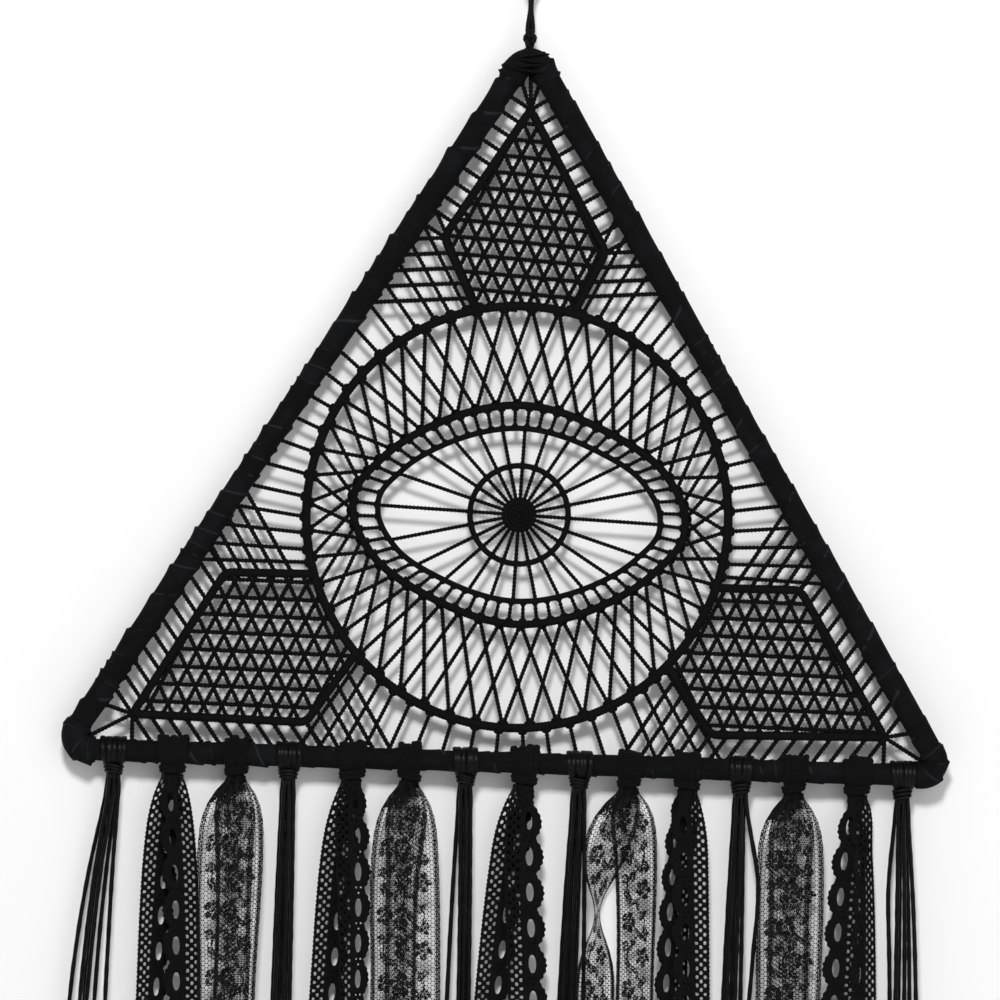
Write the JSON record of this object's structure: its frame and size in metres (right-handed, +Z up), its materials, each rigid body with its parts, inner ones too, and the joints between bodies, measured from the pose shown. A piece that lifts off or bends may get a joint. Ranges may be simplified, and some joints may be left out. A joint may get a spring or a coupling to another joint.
{
  "type": "dream catcher",
  "caption": "Wall-hung triangular dream catcher with a knotted eye web in a velvet-wrapped frame and cord, crochet and lace tassels on its bottom bar.",
  "frame": {"origin": "the point inside the top of the hanging loop where it rests on its nail", "axes": "+Z up, the front faces -Y, +X to the right seen from the front"},
  "size_m": [0.3522, 0.0142, 0.6977],
  "materials": {
    "velvet": "black velvet ribbon wound in a spiral, soft pile",
    "wire": "plain drawn steel wire",
    "web_thread": "black twisted cotton thread, matt and slightly fuzzy",
    "hanger_cord": "black twisted cord",
    "waxed_cord": "black waxed cord with a soft gloss",
    "crochet_cotton": "black crocheted cotton trim",
    "lace_ribbon": "sheer black floral lace ribbon"
  },
  "bodies": {
    "hanger": {"hanger_loop": "hanger_cord"},
    "knot": {"hanger_knot": "hanger_cord"},
    "frame": {"wire_triangle": "wire", "velvet_wrap_left": "velvet", "velvet_wrap_right": "velvet", "velvet_wrap_bottom": "velvet", "corner_wrap_left": "velvet", "corner_wrap_right": "velvet", "apex_wrap": "velvet", "iris_and_pupil": "web_thread", "inner_lids": "web_thread", "outer_lids": "web_thread", "ring_and_lattice": "web_thread", "panel_top": "web_thread", "panel_left": "web_thread", "panel_right": "web_thread", "hanger_tie": "hanger_cord"},
    "cords_1": {"cords_1_knot": "waxed_cord", "cords_1_tails": "waxed_cord"},
    "crochet_1": {"crochet_1_knot": "crochet_cotton", "crochet_1_tails": "crochet_cotton"},
    "lace_1": {"lace_1_knot": "lace_ribbon", "lace_1_tails": "lace_ribbon"},
    "cords_2": {"cords_2_knot": "waxed_cord", "cords_2_tails": "waxed_cord"},
    "crochet_2": {"crochet_2_knot": "crochet_cotton", "crochet_2_tails": "crochet_cotton"},
    "lace_2": {"lace_2_knot": "lace_ribbon", "lace_2_tails": "lace_ribbon"},
    "cords_3": {"cords_3_knot": "waxed_cord", "cords_3_tails": "waxed_cord"},
    "crochet_3": {"crochet_3_knot": "crochet_cotton", "crochet_3_tails": "crochet_cotton"},
    "cords_4": {"cords_4_knot": "waxed_cord", "cords_4_tails": "waxed_cord"},
    "lace_3": {"lace_3_knot": "lace_ribbon", "lace_3_tails": "lace_ribbon"},
    "crochet_4": {"crochet_4_knot": "crochet_cotton", "crochet_4_tails": "crochet_cotton"},
    "cords_5": {"cords_5_knot": "waxed_cord", "cords_5_tails": "waxed_cord"},
    "lace_4": {"lace_4_knot": "lace_ribbon", "lace_4_tails": "lace_ribbon"},
    "crochet_5": {"crochet_5_knot": "crochet_cotton", "crochet_5_tails": "crochet_cotton"},
    "cords_6": {"cords_6_knot": "waxed_cord", "cords_6_tails": "waxed_cord"}
  },
  "joints": [
    {"name": "frame_tilt", "type": "hinge", "parent": "hanger", "child": "knot", "pos_m": [0, 0, -0.036], "axis": [-1, 0, 0], "range_deg": [0, 30]},
    {"name": "frame_sway", "type": "hinge", "parent": "knot", "child": "frame", "pos_m": [0, 0, -0.036], "axis": [0, 1, 0], "range_deg": [-20, 20]},
    {"name": "cords_1_swing", "type": "hinge", "parent": "frame", "child": "cords_1", "pos_m": [-0.1574, 0, -0.325], "axis": [-1, 0, 0], "range_deg": [0, 80]},
    {"name": "crochet_1_swing", "type": "hinge", "parent": "frame", "child": "crochet_1", "pos_m": [-0.1338, 0, -0.325], "axis": [-1, 0, 0], "range_deg": [0, 80]},
    {"name": "lace_1_swing", "type": "hinge", "parent": "frame", "child": "lace_1", "pos_m": [-0.1082, 0, -0.325], "axis": [-1, 0, 0], "range_deg": [0, 80]},
    {"name": "cords_2_swing", "type": "hinge", "parent": "frame", "child": "cords_2", "pos_m": [-0.0874, 0, -0.325], "axis": [-1, 0, 0], "range_deg": [0, 80]},
    {"name": "crochet_2_swing", "type": "hinge", "parent": "frame", "child": "crochet_2", "pos_m": [-0.0618, 0, -0.325], "axis": [-1, 0, 0], "range_deg": [0, 80]},
    {"name": "lace_2_swing", "type": "hinge", "parent": "frame", "child": "lace_2", "pos_m": [-0.039, 0, -0.325], "axis": [-1, 0, 0], "range_deg": [0, 80]},
    {"name": "cords_3_swing", "type": "hinge", "parent": "frame", "child": "cords_3", "pos_m": [-0.0166, 0, -0.325], "axis": [-1, 0, 0], "range_deg": [0, 80]},
    {"name": "crochet_3_swing", "type": "hinge", "parent": "frame", "child": "crochet_3", "pos_m": [0.007, 0, -0.325], "axis": [-1, 0, 0], "range_deg": [0, 80]},
    {"name": "cords_4_swing", "type": "hinge", "parent": "frame", "child": "cords_4", "pos_m": [0.0289, 0, -0.325], "axis": [-1, 0, 0], "range_deg": [0, 80]},
    {"name": "lace_3_swing", "type": "hinge", "parent": "frame", "child": "lace_3", "pos_m": [0.0489, 0, -0.325], "axis": [-1, 0, 0], "range_deg": [0, 80]},
    {"name": "crochet_4_swing", "type": "hinge", "parent": "frame", "child": "crochet_4", "pos_m": [0.0721, 0, -0.325], "axis": [-1, 0, 0], "range_deg": [0, 80]},
    {"name": "cords_5_swing", "type": "hinge", "parent": "frame", "child": "cords_5", "pos_m": [0.0937, 0, -0.325], "axis": [-1, 0, 0], "range_deg": [0, 80]},
    {"name": "lace_4_swing", "type": "hinge", "parent": "frame", "child": "lace_4", "pos_m": [0.1149, 0, -0.325], "axis": [-1, 0, 0], "range_deg": [0, 80]},
    {"name": "crochet_5_swing", "type": "hinge", "parent": "frame", "child": "crochet_5", "pos_m": [0.1401, 0, -0.325], "axis": [-1, 0, 0], "range_deg": [0, 80]},
    {"name": "cords_6_swing", "type": "hinge", "parent": "frame", "child": "cords_6", "pos_m": [0.1584, 0, -0.325], "axis": [-1, 0, 0], "range_deg": [0, 80]}
  ]
}
